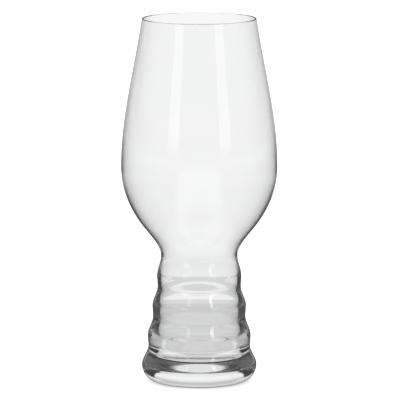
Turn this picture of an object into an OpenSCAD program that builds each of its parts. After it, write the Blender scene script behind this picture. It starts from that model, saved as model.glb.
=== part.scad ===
// Beer glass: a tulip bowl on a ridged, hollow stem and a thick foot, all of clear glass.
// It stands on z = 0, and every piece is turned about the Z axis.

/* [Bowl] */
// Height of the glass, from the table to the rim
height = 190; // [180:1:200]
// Outer diameter at the rim
rim_d = 59.4; // [55:0.2:65]
// How far the wall leans inwards at the rim, as a share of its rise
rim_lean_share = 0.15; // [0.05:0.01:0.25]
// Outer diameter at the belly, where the bowl is widest
belly_d = 81.2; // [76:0.2:86]
// Height of the belly
belly_z = 112.8; // [106:0.2:120]
// Outer diameter at the shoulder, where the bowl draws in fastest
shoulder_d = 56.7; // [52:0.1:60]
// Height of the shoulder
shoulder_z = 80.5; // [76:0.5:86]
// How far the wall draws in at the shoulder, as a share of its fall
shoulder_lean_share = 0.81; // [0.6:0.01:1]
// Outer diameter at the neck, where the bowl meets the stem
neck_d = 39.9; // [37:0.1:42]
// Height of the neck
neck_z = 65.9; // [62:0.1:70]

/* [Bowl wall] */
// Wall at the rim, which is also the thickness of its rounded lip
rim_wall = 0.8; // [0.6:0.1:2]
// Wall at the belly
belly_wall = 0.8; // [0.6:0.1:2.5]
// Wall at the shoulder
shoulder_wall = 0.9; // [0.6:0.1:3]
// Wall at the neck
neck_wall = 1.1; // [0.8:0.1:4]

/* [Stem] */
// Number of ridges, spaced evenly from the top one to the lowest
ridge_count = 3; // [2:1:5]
// Height of the top ridge
ridge_z = 55.5; // [52:0.1:57]
// Height of the lowest ridge
low_ridge_z = 24; // [22:0.1:28]
// Outer diameter of the top ridge
ridge_d = 44; // [41:0.2:48]
// Outer diameter of the lowest ridge
low_ridge_d = 53.7; // [50:0.1:58]
// How far the outside draws in below each ridge
waist_depth = 0.3; // [0:0.1:1.5]
// Place of the narrowest point below each ridge, as a share of the way to the next one or to the foot
waist_drop_share = 0.36; // [0.2:0.01:0.5]

/* [Chamber in the stem] */
// Wall at the top ridge
ridge_wall = 1.6; // [1:0.1:4]
// Wall at the lowest ridge
low_ridge_wall = 5.1; // [2:0.1:8]
// Height of the chamber's swells over the ridges outside
chamber_rise = 1.2; // [0:0.1:3]
// How far the chamber draws in below each swell
chamber_waist_depth = 0.6; // [0:0.1:1.5]
// Place of the narrowest point below each swell, as a share of the way to the next one or to the floor
chamber_waist_drop_share = 0.53; // [0.2:0.01:0.7]
// Diameter of the chamber where its wall meets the round at the floor
chamber_floor_d = 46; // [36:0.2:50]
// Height of the chamber's floor, so the thickness of glass under the drink
floor_z = 11.6; // [11:0.1:16]
// Height of the round between the floor and the wall
floor_round_h = 1.7; // [0.5:0.1:4]
// Width of the round between the floor and the wall
floor_round_w = 3.7; // [0.5:0.1:10]

/* [Foot] */
// Outer diameter of the foot
foot_d = 59.8; // [54:0.2:66]
// Height at which the foot is widest
foot_z = 8.7; // [6:0.1:10]
// Outer diameter of the ring that the glass rests on
ring_d = 44.2; // [38:0.2:52]
// Width of the flat on that ring
ring_w = 2; // [1:0.1:6]
// Depth of the hollow inside the ring
punt_depth = 4; // [1:0.1:6]

/* [Hidden] */
$fn = 128;
glass_tint = [0.9, 0.93, 0.93, 0.4];

// Points along each curve
bowl_steps = 64;
stem_steps = 72;
round_steps = 12;

// The lip is half a turn, set square to the wall that leans in under it.
lip_r = rim_wall / 2;
rim_lean = atan(rim_lean_share);
lip_z = height - lip_r;
lip_outer_z = lip_z + lip_r * sin(rim_lean);
lip_inner_z = lip_z - lip_r * sin(rim_lean);
lip_centre_r = rim_d / 2 - lip_r * cos(rim_lean);

// The round at the chamber's floor runs across the seam between the stem and the foot.
floor_round_z = floor_z + floor_round_h;
floor_centre = [chamber_floor_d / 2 - floor_round_w, floor_round_z];
seam_turn_share = 2 / 3;
seam_turn = -90 * seam_turn_share;
seam_z = floor_round_z + floor_round_h * sin(seam_turn);

// Crests of the ridges outside, down to the foot, and swells of the chamber inside, down to its floor
ridge_shares = [for (i = [0 : ridge_count - 1]) i / (ridge_count - 1)];
function spaced(top, low) = [for (share = ridge_shares) top + (low - top) * share];
crest_z = concat(spaced(ridge_z, low_ridge_z), foot_z);
crest_r = concat(spaced(ridge_d / 2, low_ridge_d / 2), foot_d / 2);
swell_z = concat(spaced(ridge_z + chamber_rise, low_ridge_z + chamber_rise), floor_round_z);
swell_r = concat(spaced(ridge_d / 2 - ridge_wall, low_ridge_d / 2 - low_ridge_wall), chamber_floor_d / 2);

// Stations that a wall passes, from the top down: [height, radius, slope]
bowl_outside = [
    [lip_outer_z, rim_d / 2, -rim_lean_share],
    [belly_z, belly_d / 2, 0],
    [shoulder_z, shoulder_d / 2, shoulder_lean_share],
    [neck_z, neck_d / 2, 0]
];
bowl_walls = [rim_wall, belly_wall, shoulder_wall, neck_wall];
bowl_inside = [
    for (i = [0 : len(bowl_walls) - 1])
        let (s = bowl_outside[i])
        [s[0], s[1] - bowl_walls[i] * norm([1, s[2]]), s[2]]
];
function waves(z, r, depth, drop_share) = [
    for (i = [0 : len(z) - 1]) each [
        [z[i], r[i], 0],
        if (i + 1 < len(z)) [z[i] + (z[i + 1] - z[i]) * drop_share, r[i] - depth, 0]
    ]
];
outer_wall = concat(bowl_outside, waves(crest_z, crest_r, waist_depth, waist_drop_share));
inner_wall = concat(bowl_inside, waves(swell_z, swell_r, chamber_waist_depth, chamber_waist_drop_share));

// Radius of a wall at height z: a cubic curve from each station to the next, with the slope given at each
function span_r(above, below, z) =
    let (fall = above[0] - below[0], t = (above[0] - z) / fall)
    above[1] * (1 - t) * (1 - t) * (1 + 2 * t)
    - above[2] * fall * t * (1 - t) * (1 - t)
    + below[1] * t * t * (3 - 2 * t)
    + below[2] * fall * t * t * (1 - t);
function wall_r(wall, z, i = 0) =
    z >= wall[i + 1][0] || i + 2 == len(wall)
        ? span_r(wall[i], wall[i + 1], z)
        : wall_r(wall, z, i + 1);

// Points on a wall from one height to another
function wall_points(wall, from_z, to_z, steps) = [
    for (i = [0 : steps])
        let (z = from_z + (to_z - from_z) * i / steps)
        [wall_r(wall, z), z]
];

// Points on a stretch of ellipse, from one angle to another
function round_points(centre, half_w, half_h, from_turn, to_turn) = [
    for (i = [0 : round_steps])
        let (turn = from_turn + (to_turn - from_turn) * i / round_steps)
        centre + [half_w * cos(turn), half_h * sin(turn)]
];

// The hollow under the foot is a cap of a sphere.
punt_r = ring_d / 2 - ring_w;
punt_ball_r = (punt_r * punt_r + punt_depth * punt_depth) / (2 * punt_depth);
punt_turn = asin(punt_r / punt_ball_r);
punt_centre = [0, punt_depth - punt_ball_r];

// Leaves out the first and last points of a curve whose ends belong to its neighbours
function inside(points) = [for (i = [1 : len(points) - 2]) points[i]];

module turned_glass(outline) color(glass_tint) rotate_extrude() polygon(outline);

// Thin wall from the neck seam up to the rounded lip
module bowl() turned_glass(concat(
    wall_points(outer_wall, neck_z, lip_outer_z, bowl_steps),
    inside(round_points([lip_centre_r, lip_z], lip_r, lip_r, rim_lean, rim_lean + 180)),
    wall_points(inner_wall, lip_inner_z, neck_z, bowl_steps)
));

// Ridged tube from the foot seam up to the neck seam
module stem() turned_glass(concat(
    wall_points(outer_wall, seam_z, neck_z, stem_steps),
    wall_points(inner_wall, neck_z, floor_round_z, stem_steps),
    [for (i = [1 : round_steps]) round_points(floor_centre, floor_round_w, floor_round_h, 0, seam_turn)[i]]
));

// Solid disc with a rounded edge, dished above to close the chamber and hollowed below
module foot() turned_glass(concat(
    [[0, floor_z]],
    round_points(floor_centre, floor_round_w, floor_round_h, -90, seam_turn),
    wall_points(outer_wall, seam_z, foot_z, round_steps),
    inside(round_points([ring_d / 2, foot_z], foot_d / 2 - ring_d / 2, foot_z, 0, -90)),
    [[ring_d / 2, 0]],
    round_points(punt_centre, punt_ball_r, punt_ball_r, 90 - punt_turn, 90)
));

bowl();
stem();
foot();
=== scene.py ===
# Looks of a clear beer glass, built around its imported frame. Lengths are in metres unless a name says mm.
import math

import bpy
import numpy as np
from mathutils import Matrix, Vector


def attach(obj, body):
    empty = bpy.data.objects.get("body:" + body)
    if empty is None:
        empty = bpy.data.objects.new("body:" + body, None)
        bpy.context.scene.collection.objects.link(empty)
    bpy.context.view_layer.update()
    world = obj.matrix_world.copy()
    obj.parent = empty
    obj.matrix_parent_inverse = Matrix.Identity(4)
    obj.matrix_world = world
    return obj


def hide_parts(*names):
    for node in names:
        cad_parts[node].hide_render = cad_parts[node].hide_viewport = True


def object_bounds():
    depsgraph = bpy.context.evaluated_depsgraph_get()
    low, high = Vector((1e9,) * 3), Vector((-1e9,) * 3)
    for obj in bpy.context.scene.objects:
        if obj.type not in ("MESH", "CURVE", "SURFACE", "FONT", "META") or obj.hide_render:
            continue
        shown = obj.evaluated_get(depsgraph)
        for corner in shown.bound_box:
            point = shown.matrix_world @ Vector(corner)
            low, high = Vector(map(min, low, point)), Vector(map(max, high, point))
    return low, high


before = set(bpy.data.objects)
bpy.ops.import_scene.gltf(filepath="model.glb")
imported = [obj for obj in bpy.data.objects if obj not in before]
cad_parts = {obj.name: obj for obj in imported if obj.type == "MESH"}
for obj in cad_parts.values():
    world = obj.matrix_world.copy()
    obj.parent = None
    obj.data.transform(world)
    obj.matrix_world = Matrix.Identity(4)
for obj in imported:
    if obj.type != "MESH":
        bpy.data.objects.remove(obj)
cad_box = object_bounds()

MM = 0.001
MICRON = MM / 1000
scene = bpy.context.scene
glass_height = cad_box[1].z
glass_radius = cad_box[1].x

# Camera: a long lens a few steps away, looking slightly down over the rim
IMAGE_PX = 400
SENSOR_WIDTH_MM = 36
camera_distance = 2.4
camera_height = 0.445
camera_lens_mm = 420.1
aim_height = 95 * MM
axis_offset_px = 0.8

# Paths: how often light may turn, enough to be carried a long way inside the wall of the glass
light_bounces = 256

# Mesh: steps between two outline points of the frame, steps round the axis, and the grid of equal points
outline_steps = 3
turn_steps = 88
point_grid = 0.1 * MICRON

# Glass: waves from blowing, with their share by height, a scuffed resting ring and a faint grey tint
glass_ior = 1.5
glass_grey = (0.5, 0.52, 0.54, 1)
glass_grey_density = 2
clear_white = (1, 1, 1, 1)
clear_dull = (0.975, 0.98, 0.98, 1)
cloud_scale = 40
cloud_detail = 2
wave_scale = (90, 90, 260)
wave_detail = 1
wave_height = 0.02 * MM
wave_shares = [(0, 1), (60 * MM, 1), (85 * MM, 0.06), (190 * MM, 0.04)]
scuff_roughness_stops = [(0, 0.4), (0.3 * MM, 0.25), (0.8 * MM, 0)]

# Floor: white paper that glows a little, which keeps its contact shadow light
floor_size = 8
floor_drop = 0.05 * MM
floor_white = (0.96, 0.96, 0.96, 1)
floor_lift = 0.5

# Lamps: two upright strips beside the camera, turned from it in degrees, that fade at their lower ends
strip_distance = 1.4
strip_middle_height = 0.32
strip_length = 0.44
strip_width = 0.42
strip_radiance = 1.6
strip_turn = 39
strip_fade_shares = [(0, 0), (0.25, 1)]

# Painted levels of the room that glass shows: only for rays from glass, the floor and sky glow at these
# levels, set by how glass turned the path, which paints the glass's shade, bands and highlights.
# Floor stops run over the distance from the glass, sky stops over a way's rise
# Straight through: a painted grey table with two grey rings round it, then white, a painted grey horizon
# and painted dark flags
painted_table_stops = [
    (0.09, 0.75),
    (0.1, 0.7),
    (0.11, 0.7),
    (0.118, 0.79),
    (0.163, 0.79),
    (0.169, 1),
    (0.179, 1),
    (0.183, 0.8),
    (0.191, 0.8),
    (0.196, 1),
    (0.2, 1),
    (0.24, 0.92),
    (0.32, 0.92),
    (0.37, 1),
]
painted_horizon_stops = [(0, 0.64), (0.1, 0.64), (0.16, 1)]
painted_flag_turns = [-125, -55, 55, 125]
painted_flag_across_shares = [(0.22, 0.95), (0.27, 0)]
# Mirrored on the outside: painted levels of the floor and the room, painted highlights of bright cards
# beside the camera and a painted low backdrop behind
gloss_floor_stops = [(0.4, 0.13), (0.6, 0.5), (0.8, 0.2), (1.6, 0.3)]
gloss_sky_level = 0.15
painted_card_shape = dict(
    across_shares=[(0.04, 1), (0.09, 0)],
    rise_shares=[(0.26, 0), (0.5, 1), (0.56, 1), (0.62, 0.4), (0.72, 0)],
)
left_painted_card = dict(turn=-28, level=2, **painted_card_shape)
right_painted_card = dict(turn=33, level=5.5, **painted_card_shape)
painted_backdrop = dict(
    turn=180,
    level=0.45,
    across_shares=[(0.75, 1), (0.95, 0)],
    rise_shares=[(0.04, 1), (0.08, 0)],
)
# Mirrored once in the near wall: painted levels
once_floor_stops = [
    (0.03, 0.03),
    (0.05, 0.9),
    (0.085, 0.14),
    (0.15, 0.07),
    (0.25, 0.02),
    (0.45, 0.25),
    (0.75, 0.07),
    (1.6, 0.55),
]
once_sky_stops = [(0.05, 0.5), (0.12, 0.85), (0.3, 0.85), (0.38, 0.3), (0.5, 0.15)]
# Mirrored once in the far wall: painted levels of the floor and the room, and a painted wide panel above
# the camera
behind_floor_stops = [(0.1, 0.2), (0.4, 0.4), (1, 0.6)]
behind_sky_level = 0.5
painted_panel = dict(
    turn=0,
    level=0.8,
    across_shares=[(0.5, 1), (0.6, 0)],
    rise_shares=[(0.1, 0), (0.25, 1), (0.75, 1), (1, 0)],
)
# Mirrored more often: painted levels
often_floor_stops = [(0.1, 0.05), (0.8, 0.15), (1.3, 0.7)]
often_sky_stops = [(0.6, 0.03), (0.8, 0.3)]
# Carried a long way inside the wall, as from the rim: painted levels
carried_bounces = 24
carried_floor_level = 0.9
carried_sky_level = 0.1


# The outline of the whole glass, read from the frame

def seam_edges(node):
    """Edges of a node's mesh in the half plane y = 0, x >= 0: pairs of (radius, height) on a fine grid."""
    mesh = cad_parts[node].data

    def point(index):
        x, y, z = mesh.vertices[index].co
        on_seam = abs(y) < point_grid and x > -point_grid
        return (round(x / point_grid), round(z / point_grid)) if on_seam else None

    edges = set()
    for edge in mesh.edges:
        ends = [point(i) for i in edge.vertices]
        if None not in ends and ends[0] != ends[1]:
            edges.add(frozenset(ends))
    return edges


def glass_outline():
    """Points (radius, height) from the chamber's floor over the rim to the hollow under the foot.
    Edges on a seam between two pieces are in both of them, so they drop out."""
    edges = set()
    for node in ("bowl", "stem", "foot"):
        edges ^= seam_edges(node)
    neighbours = {}
    for edge in edges:
        a, b = edge
        neighbours.setdefault(a, []).append(b)
        neighbours.setdefault(b, []).append(a)
    ends = [p for p, near in neighbours.items() if len(near) == 1]
    chain = [max(ends, key=lambda p: p[1])]
    while True:
        onward = [p for p in neighbours[chain[-1]] if p not in chain[-2:]]
        if not onward:
            break
        chain.append(onward[0])
    return np.array(chain) * point_grid


def smooth_outline(points):
    """Catmull-Rom curve through the points, which keeps the outline's crests and rounds between them."""
    padded = np.vstack([2 * points[0] - points[1], points, 2 * points[-1] - points[-2]])
    fine = []
    for before, start, end, after in zip(padded, padded[1:], padded[2:], padded[3:]):
        for t in np.arange(outline_steps) / outline_steps:
            fine.append(
                start
                + t * (end - before) / 2
                + t**2 * (before - 2.5 * start + 2 * end - after / 2)
                + t**3 * (1.5 * (start - end) + (after - before) / 2)
            )
    fine.append(points[-1])
    return np.clip(fine, 0, [glass_radius, glass_height])


def turned_mesh(name, points):
    """Closed mesh of an outline turned about Z, with one vertex where each end meets the axis."""
    turns = 2 * math.pi * np.arange(turn_steps) / turn_steps
    rings = [p for p in points if p[0] > point_grid]
    vertices = [(0, 0, points[0][1])]
    for radius, height in rings:
        vertices += [(radius * math.cos(turn), radius * math.sin(turn), height) for turn in turns]
    vertices.append((0, 0, points[-1][1]))
    last = len(vertices) - 1
    last_ring = 1 + (len(rings) - 1) * turn_steps
    faces = []
    for i in range(turn_steps):
        j = (i + 1) % turn_steps
        faces.append((0, 1 + i, 1 + j))
        for low in range(1, last_ring, turn_steps):
            faces.append((low + i, low + turn_steps + i, low + turn_steps + j, low + j))
        faces.append((last_ring + i, last, last_ring + j))
    mesh = bpy.data.meshes.new(name)
    mesh.from_pydata(vertices, [], faces)
    mesh.shade_smooth()
    mesh.validate()
    return mesh


# Nodes

def add(tree, kind, sockets, **settings):
    """New node of a kind. Sockets, by name or number, take a value or another node's output."""
    node = tree.nodes.new(kind)
    for key, value in settings.items():
        setattr(node, key, value)
    for key, value in sockets.items():
        if isinstance(value, bpy.types.NodeSocket):
            tree.links.new(value, node.inputs[key])
        else:
            node.inputs[key].default_value = value
    return node


def math_node(tree, operation, first, second=0):
    return add(tree, "ShaderNodeMath", {0: first, 1: second}, operation=operation).outputs[0]


def product(tree, first, *others):
    for other in others:
        first = math_node(tree, "MULTIPLY", first, other)
    return first


def along(tree, way, direction):
    """How far a way goes along a direction."""
    dot = add(tree, "ShaderNodeVectorMath", {0: way, 1: direction}, operation="DOT_PRODUCT")
    return dot.outputs["Value"]


def mixed(tree, share, low, high):
    """Number that runs from low to high."""
    return add(tree, "ShaderNodeMix", {0: share, 2: low, 3: high}).outputs[0]


def mixed_colour(tree, share, low, high):
    """Colour that runs from low to high, by the mix node's sockets for colours."""
    return add(tree, "ShaderNodeMix", {0: share, 6: low, 7: high}, data_type="RGBA").outputs[2]


def level_over(tree, measure, stops):
    """Level that runs straight between stops of (measure, level)."""
    low, high = stops[0][0], stops[-1][0]
    share = add(tree, "ShaderNodeMapRange", {"Value": measure, "From Min": low, "From Max": high})
    ramp = add(tree, "ShaderNodeValToRGB", {"Fac": share.outputs[0]})
    elements = ramp.color_ramp.elements
    while len(elements) < len(stops):
        elements.new(1)
    for element, (at, level) in zip(elements, stops):
        element.position = (at - low) / (high - low)
        element.color = (level, level, level, 1)
    return ramp.outputs["Color"]


def in_glass(tree):
    """Whether a ray comes from glass, and not from the camera or from a dull surface."""
    path = add(tree, "ShaderNodeLightPath", {}).outputs
    return math_node(tree, "MAXIMUM", path["Is Glossy Ray"], path["Is Transmission Ray"])


def by_mirrors(tree, never, outside, once, behind, often, carried):
    """Painted level by how glass turned a path: never mirrored it, mirrored it on its outside, once in the
    near wall, once in the far wall, or more often, or carried it a long way inside the wall.
    A path that meets only the near wall crosses no more than the wall's two faces."""
    path = add(tree, "ShaderNodeLightPath", {}).outputs
    wall_faces = 2

    def more_than(number, count):
        return math_node(tree, "GREATER_THAN", path[count], number)

    near = mixed(tree, more_than(0, "Transmission Depth"), outside, once)
    mirrored = mixed(tree, more_than(wall_faces, "Transmission Depth"), near, behind)
    level = mixed(tree, more_than(0, "Glossy Depth"), never, mirrored)
    level = mixed(tree, more_than(1, "Glossy Depth"), level, often)
    return mixed(tree, more_than(carried_bounces, "Ray Depth"), level, carried)


def new_material(name):
    material = bpy.data.materials.new(name)
    material.use_nodes = True
    material.node_tree.nodes.clear()
    return material, material.node_tree


# Materials

def glass_material():
    """Clear glass with slight waves, strongest in the stem and foot, and a scuffed resting ring."""
    material, tree = new_material("clear_glass")
    place = add(tree, "ShaderNodeTexCoord", {}).outputs["Object"]
    height = add(tree, "ShaderNodeSeparateXYZ", {0: place}).outputs["Z"]
    flat_waves = add(tree, "ShaderNodeMapping", {"Vector": place, "Scale": wave_scale}).outputs[0]
    waves = add(tree, "ShaderNodeTexNoise", {"Vector": flat_waves, "Scale": 1, "Detail": wave_detail})
    wave = product(tree, waves.outputs[0], level_over(tree, height, wave_shares))
    bump = add(tree, "ShaderNodeBump", {"Strength": 1, "Distance": wave_height, "Height": wave})
    cloud_sockets = {"Vector": place, "Scale": cloud_scale, "Detail": cloud_detail}
    clouds = add(tree, "ShaderNodeTexNoise", cloud_sockets)
    shader = add(tree, "ShaderNodeBsdfPrincipled", {
        "Base Color": mixed_colour(tree, clouds.outputs[0], clear_dull, clear_white),
        "Roughness": level_over(tree, height, scuff_roughness_stops),
        "IOR": glass_ior,
        "Transmission Weight": 1,
        "Normal": bump.outputs[0],
    })
    grey = add(tree, "ShaderNodeVolumeAbsorption", {"Color": glass_grey, "Density": glass_grey_density})
    add(tree, "ShaderNodeOutputMaterial", {"Surface": shader.outputs[0], "Volume": grey.outputs[0]})
    return material


def floor_material():
    """White paper for the camera and dull surfaces. For rays from glass the floor glows at painted levels
    instead:
    a painted grey tabletop seen through the glass, and a painted darker floor in its mirrors.
    """
    material, tree = new_material("pale_floor")
    place = add(tree, "ShaderNodeTexCoord", {}).outputs["Object"]
    reach = add(tree, "ShaderNodeVectorMath", {0: place}, operation="LENGTH").outputs["Value"]
    level = by_mirrors(
        tree,
        never=level_over(tree, reach, painted_table_stops),
        outside=level_over(tree, reach, gloss_floor_stops),
        once=level_over(tree, reach, once_floor_stops),
        behind=level_over(tree, reach, behind_floor_stops),
        often=level_over(tree, reach, often_floor_stops),
        carried=carried_floor_level,
    )
    paper = add(tree, "ShaderNodeBsdfDiffuse", {"Color": floor_white}).outputs[0]
    lift = add(tree, "ShaderNodeEmission", {"Strength": floor_lift}).outputs[0]
    lit_paper = add(tree, "ShaderNodeAddShader", {0: paper, 1: lift}).outputs[0]
    # Painted glow: rays from glass see the floor shine at these painted levels, not as lit paper
    painted_glow = add(tree, "ShaderNodeEmission", {"Strength": level}).outputs[0]
    shown = add(tree, "ShaderNodeMixShader", {0: in_glass(tree), 1: lit_paper, 2: painted_glow})
    add(tree, "ShaderNodeOutputMaterial", {"Surface": shown.outputs[0]})
    return material


def upright_share(tree, way, turn, across_shares):
    """How much an upright painted card, turned from the camera's side in degrees, fills a way."""
    angle = math.radians(turn)
    across = math_node(tree, "ABSOLUTE", along(tree, way, (math.cos(angle), math.sin(angle), 0)))
    facing = math_node(tree, "GREATER_THAN", along(tree, way, (math.sin(angle), -math.cos(angle), 0)))
    return product(tree, facing, level_over(tree, across, across_shares))


def painted_card_level(tree, way, rise, turn, level, across_shares, rise_shares):
    """Level of a painted upright bright card of some height, which only glass shows."""
    share = upright_share(tree, way, turn, across_shares)
    return product(tree, share, level_over(tree, rise, rise_shares), level)


def studio_world():
    """White room for the camera and dull surfaces. For rays from glass the sky glows at painted levels
    instead:
    a painted grey horizon and painted dark flags through the glass, and painted highlights of bright cards
    in its mirrors.
    """
    world = bpy.data.worlds.new("studio")
    world.use_nodes = True
    tree = world.node_tree
    tree.nodes.clear()
    way = add(tree, "ShaderNodeTexCoord", {}).outputs["Generated"]
    rise = add(tree, "ShaderNodeSeparateXYZ", {0: way}).outputs["Z"]
    seen = level_over(tree, rise, painted_horizon_stops)
    # Painted dark flags: the sky seen through glass is darkened at these turns, as painted shade
    for turn in painted_flag_turns:
        painted_flag_share = upright_share(tree, way, turn, painted_flag_across_shares)
        seen = product(tree, seen, math_node(tree, "SUBTRACT", 1, painted_flag_share))
    # Painted highlights: bright cards and a low backdrop that only the glass's outside mirror shows
    gloss = gloss_sky_level
    for card in (left_painted_card, right_painted_card, painted_backdrop):
        gloss = math_node(tree, "ADD", painted_card_level(tree, way, rise, **card), gloss)
    # Painted wide panel that only the far wall's mirror shows
    painted_panel_level = painted_card_level(tree, way, rise, **painted_panel)
    level = by_mirrors(
        tree,
        never=seen,
        outside=gloss,
        once=level_over(tree, rise, once_sky_stops),
        behind=math_node(tree, "ADD", painted_panel_level, behind_sky_level),
        often=level_over(tree, rise, often_sky_stops),
        carried=carried_sky_level,
    )
    sky_sockets = {"Color": clear_white, "Strength": mixed(tree, in_glass(tree), 1, level)}
    sky = add(tree, "ShaderNodeBackground", sky_sockets)
    add(tree, "ShaderNodeOutputWorld", {"Surface": sky.outputs[0]})
    return world


# Objects

def add_object(name, data, location=(0, 0, 0)):
    obj = bpy.data.objects.new(name, data)
    obj.location = location
    scene.collection.objects.link(obj)
    return obj


# The glass

glass = add_object("glass_body", turned_mesh("glass_body", smooth_outline(glass_outline())))
glass.data.materials.append(glass_material())
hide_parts("bowl", "stem", "foot")
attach(glass, "root")

# Stage

half = floor_size / 2
floor_corners = [(-half, -half, 0), (half, -half, 0), (half, half, 0), (-half, half, 0)]
floor_mesh = bpy.data.meshes.new("floor")
floor_mesh.from_pydata(floor_corners, [], [range(len(floor_corners))])
floor_mesh.materials.append(floor_material())
add_object("floor", floor_mesh, (0, 0, -floor_drop))
scene.world = studio_world()


def fade_strip(lamp):
    """Glow over the height of a strip lamp."""
    lamp.use_nodes = True
    tree = lamp.node_tree
    tree.nodes.clear()
    place = add(tree, "ShaderNodeNewGeometry", {}).outputs["Parametric"]
    up_share = add(tree, "ShaderNodeSeparateXYZ", {0: place}).outputs["Y"]
    glow = add(tree, "ShaderNodeEmission", {"Strength": level_over(tree, up_share, strip_fade_shares)})
    add(tree, "ShaderNodeOutputLight", {"Surface": glow.outputs[0]})


def strip_light(name, turn):
    """Upright flat lamp that faces the glass. Glass mirrors it, but does not show it through itself."""
    lamp = bpy.data.lights.new(name, "AREA")
    lamp.shape = "RECTANGLE"
    lamp.size = strip_width
    lamp.size_y = strip_length
    lamp.energy = strip_radiance * math.pi * strip_width * strip_length
    fade_strip(lamp)
    angle = math.radians(turn)
    away = Vector((math.sin(angle), -math.cos(angle), 0))
    obj = add_object(name, lamp, strip_distance * away + Vector((0, 0, strip_middle_height)))
    obj.rotation_euler = (-away).to_track_quat("-Z", "Y").to_euler()
    obj.visible_transmission = False


strip_light("left_strip", -strip_turn)
strip_light("right_strip", strip_turn)

# Camera

lens = bpy.data.cameras.new("camera")
lens.lens = camera_lens_mm
lens.sensor_width = SENSOR_WIDTH_MM
metres_per_px = camera_distance * SENSOR_WIDTH_MM / camera_lens_mm / IMAGE_PX
side = axis_offset_px * metres_per_px
camera = add_object("camera", lens, (side, -camera_distance, camera_height))
aim = Vector((side, 0, aim_height)) - camera.location
camera.rotation_euler = aim.to_track_quat("-Z", "Y").to_euler()
scene.camera = camera

scene.view_settings.view_transform = "Standard"
scene.cycles.max_bounces = light_bounces
scene.cycles.transmission_bounces = light_bounces
scene.cycles.glossy_bounces = light_bounces
